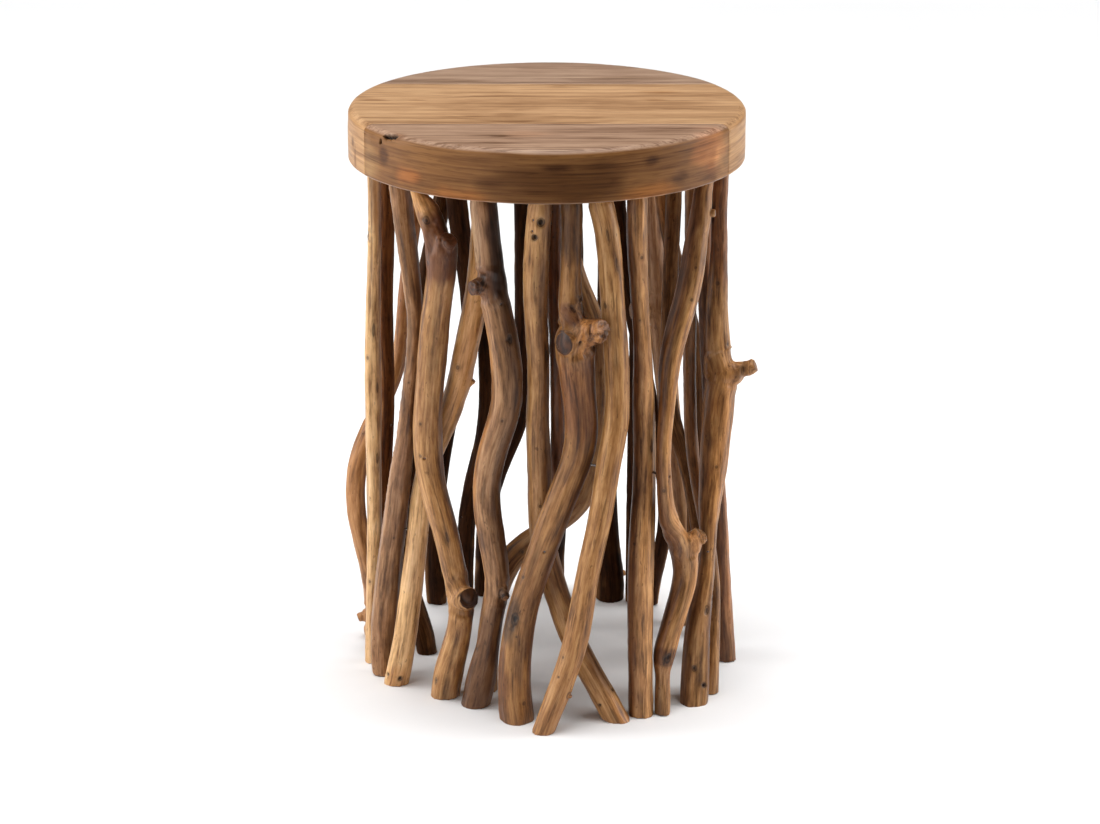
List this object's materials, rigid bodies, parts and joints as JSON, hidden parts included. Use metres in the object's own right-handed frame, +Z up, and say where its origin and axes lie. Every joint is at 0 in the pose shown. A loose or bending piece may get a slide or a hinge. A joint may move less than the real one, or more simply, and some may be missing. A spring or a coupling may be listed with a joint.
{
  "type": "side table",
  "caption": "Round side table: a thick plank top carried by a close ring of crooked peeled branches that stand on the floor.",
  "frame": {"origin": "on the floor, under the centre of the top", "axes": "+Z up; +X to the right of someone who stands in front of the table, along the grain of the top; the front faces -Y"},
  "size_m": [0.3205, 0.318, 0.45],
  "materials": {
    "top_wood": "satin",
    "branch_wood": "satin",
    "nail_steel": "dull"
  },
  "bodies": {
    "root": {"branch_back_inner": "branch_wood", "branch_back_left_leaning": "branch_wood", "branch_back_left_post": "branch_wood", "branch_back_right_curved": "branch_wood", "branch_back_right_post": "branch_wood", "branch_back_right_stubbed": "branch_wood", "branch_back_splayed": "branch_wood", "branch_back_stout": "branch_wood", "branch_front_diagonal": "branch_wood", "branch_front_elbow": "branch_wood", "branch_front_inner": "branch_wood", "branch_front_kicked": "branch_wood", "branch_front_knuckle": "branch_wood", "branch_front_outer": "branch_wood", "branch_front_wavy": "branch_wood", "branch_left_bowed": "branch_wood", "branch_left_crossing": "branch_wood", "branch_left_leaning": "branch_wood", "branch_left_propped": "branch_wood", "branch_left_slender": "branch_wood", "branch_left_straight": "branch_wood", "branch_nails": "nail_steel", "branch_right_forked": "branch_wood", "branch_right_hooked": "branch_wood", "branch_right_inner": "branch_wood", "branch_right_post": "branch_wood", "branch_right_slender": "branch_wood", "branch_right_straight": "branch_wood", "branch_right_tilted": "branch_wood", "top_board_back": "top_wood", "top_board_front": "top_wood", "top_board_middle": "top_wood"}
  },
  "joints": []
}
